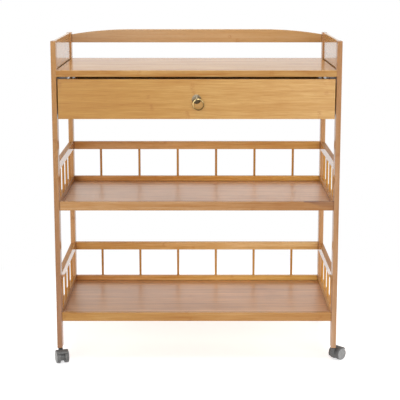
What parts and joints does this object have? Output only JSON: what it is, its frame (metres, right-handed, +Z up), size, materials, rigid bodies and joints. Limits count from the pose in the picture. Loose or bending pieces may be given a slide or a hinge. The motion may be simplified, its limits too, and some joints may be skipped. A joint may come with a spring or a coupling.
{
  "type": "utility cart",
  "caption": "Lacquered bamboo utility cart with an arched back rail, a ring-pull drawer, spindle-galleried trays and swivelling twin-wheel casters.",
  "frame": {"origin": "on the floor, under the middle of the cart", "axes": "+Z up, -Y towards the drawer front, +X to the right seen from the front"},
  "size_m": [0.7356, 0.411, 0.789],
  "materials": {
    "bamboo_leg": "clear gloss lacquer over laminated bamboo strip",
    "bamboo_rail": "clear gloss lacquer over laminated bamboo strip",
    "bamboo_board": "clear gloss lacquer over edge-glued bamboo board",
    "bamboo_panel": "clear gloss lacquer over thin bamboo ply",
    "bamboo_spindle": "clear gloss lacquer over turned bamboo rod",
    "drawer_ply": "thin clear lacquer over bamboo ply",
    "zinc_steel": "zinc plated",
    "black_steel": "black zinc plated",
    "bush_brass": "plain turned",
    "antique_metal": "antique nickel, rubbed on the high spots",
    "hood_plastic": "moulded, satin",
    "wheel_plastic": "moulded, satin"
  },
  "bodies": {
    "frame": {"top_board": "bamboo_board", "back_rail": "bamboo_rail", "leg_front_left": "bamboo_leg", "leg_front_right": "bamboo_leg", "leg_back_left": "bamboo_leg", "leg_back_right": "bamboo_leg", "side_panel_left": "bamboo_board", "drawer_runner_left": "drawer_ply", "side_panel_right": "bamboo_board", "drawer_runner_right": "drawer_ply", "mid_front_rail": "bamboo_rail", "mid_back_lower_rail": "bamboo_rail", "mid_back_upper_rail": "bamboo_rail", "mid_shelf_panel": "bamboo_panel", "mid_back_spindles": "bamboo_spindle", "mid_side_spindles": "bamboo_spindle", "mid_side_lower_rail_left": "bamboo_rail", "mid_side_upper_rail_left": "bamboo_rail", "mid_side_lower_rail_right": "bamboo_rail", "mid_side_upper_rail_right": "bamboo_rail", "low_front_rail": "bamboo_rail", "low_back_lower_rail": "bamboo_rail", "low_back_upper_rail": "bamboo_rail", "low_shelf_panel": "bamboo_panel", "low_back_spindles": "bamboo_spindle", "low_side_spindles": "bamboo_spindle", "low_side_lower_rail_left": "bamboo_rail", "low_side_upper_rail_left": "bamboo_rail", "low_side_lower_rail_right": "bamboo_rail", "low_side_upper_rail_right": "bamboo_rail", "frame_bolts": "zinc_steel", "rail_dowels": "bamboo_spindle", "runner_screws": "zinc_steel", "caster_stems": "black_steel", "caster_sockets": "bush_brass"},
    "drawer": {"drawer_side_left": "drawer_ply", "drawer_side_right": "drawer_ply", "drawer_front": "bamboo_board", "drawer_back": "drawer_ply", "drawer_bottom": "drawer_ply", "drawer_screws": "zinc_steel", "pull_rosette": "antique_metal", "pull_screw": "zinc_steel"},
    "ring": {"pull_ring": "antique_metal"},
    "caster_front_left": {"caster_front_left_housing": "hood_plastic", "caster_front_left_axle": "zinc_steel"},
    "caster_front_left_wheel_a": {"caster_front_left_wheel_a": "wheel_plastic"},
    "caster_front_left_wheel_b": {"caster_front_left_wheel_b": "wheel_plastic"},
    "caster_front_right": {"caster_front_right_housing": "hood_plastic", "caster_front_right_axle": "zinc_steel"},
    "caster_front_right_wheel_a": {"caster_front_right_wheel_a": "wheel_plastic"},
    "caster_front_right_wheel_b": {"caster_front_right_wheel_b": "wheel_plastic"},
    "caster_back_left": {"caster_back_left_housing": "hood_plastic", "caster_back_left_axle": "zinc_steel"},
    "caster_back_left_wheel_a": {"caster_back_left_wheel_a": "wheel_plastic"},
    "caster_back_left_wheel_b": {"caster_back_left_wheel_b": "wheel_plastic"},
    "caster_back_right": {"caster_back_right_housing": "hood_plastic", "caster_back_right_axle": "zinc_steel"},
    "caster_back_right_wheel_a": {"caster_back_right_wheel_a": "wheel_plastic"},
    "caster_back_right_wheel_b": {"caster_back_right_wheel_b": "wheel_plastic"}
  },
  "joints": [
    {"name": "drawer_slide", "type": "slide", "parent": "frame", "child": "drawer", "axis": [0, -1, 0], "range_m": [0, 0.24]},
    {"name": "ring_swing", "type": "hinge", "parent": "drawer", "child": "ring", "pos_m": [0, -0.193, 0.6456], "axis": [-1, 0, 0], "range_deg": [-12, 150]},
    {"name": "caster_front_left_swivel", "type": "hinge", "parent": "frame", "child": "caster_front_left", "pos_m": [-0.334, -0.17, 0.031], "axis": [0, 0, 1], "continuous": true},
    {"name": "caster_front_left_wheel_a_spin", "type": "hinge", "parent": "caster_front_left", "child": "caster_front_left_wheel_a", "pos_m": [-0.32844, -0.18712, 0.015], "axis": [0.9511, 0.309, 0], "continuous": true},
    {"name": "caster_front_left_wheel_b_spin", "type": "hinge", "parent": "caster_front_left", "child": "caster_front_left_wheel_b", "pos_m": [-0.32844, -0.18712, 0.015], "axis": [0.9511, 0.309, 0], "continuous": true},
    {"name": "caster_front_right_swivel", "type": "hinge", "parent": "frame", "child": "caster_front_right", "pos_m": [0.334, -0.17, 0.031], "axis": [0, 0, 1], "continuous": true},
    {"name": "caster_front_right_wheel_a_spin", "type": "hinge", "parent": "caster_front_right", "child": "caster_front_right_wheel_a", "pos_m": [0.34738, -0.15796, 0.015], "axis": [-0.6691, 0.7431, 0], "continuous": true},
    {"name": "caster_front_right_wheel_b_spin", "type": "hinge", "parent": "caster_front_right", "child": "caster_front_right_wheel_b", "pos_m": [0.34738, -0.15796, 0.015], "axis": [-0.6691, 0.7431, 0], "continuous": true},
    {"name": "caster_back_left_swivel", "type": "hinge", "parent": "frame", "child": "caster_back_left", "pos_m": [-0.334, 0.17, 0.031], "axis": [0, 0, 1], "continuous": true},
    {"name": "caster_back_left_wheel_a_spin", "type": "hinge", "parent": "caster_back_left", "child": "caster_back_left_wheel_a", "pos_m": [-0.34738, 0.18204, 0.015], "axis": [-0.6691, -0.7431, 0], "continuous": true},
    {"name": "caster_back_left_wheel_b_spin", "type": "hinge", "parent": "caster_back_left", "child": "caster_back_left_wheel_b", "pos_m": [-0.34738, 0.18204, 0.015], "axis": [-0.6691, -0.7431, 0], "continuous": true},
    {"name": "caster_back_right_swivel", "type": "hinge", "parent": "frame", "child": "caster_back_right", "pos_m": [0.334, 0.17, 0.031], "axis": [0, 0, 1], "continuous": true},
    {"name": "caster_back_right_wheel_a_spin", "type": "hinge", "parent": "caster_back_right", "child": "caster_back_right_wheel_a", "pos_m": [0.32844, 0.18712, 0.015], "axis": [-0.9511, -0.309, 0], "continuous": true},
    {"name": "caster_back_right_wheel_b_spin", "type": "hinge", "parent": "caster_back_right", "child": "caster_back_right_wheel_b", "pos_m": [0.32844, 0.18712, 0.015], "axis": [-0.9511, -0.309, 0], "continuous": true}
  ]
}
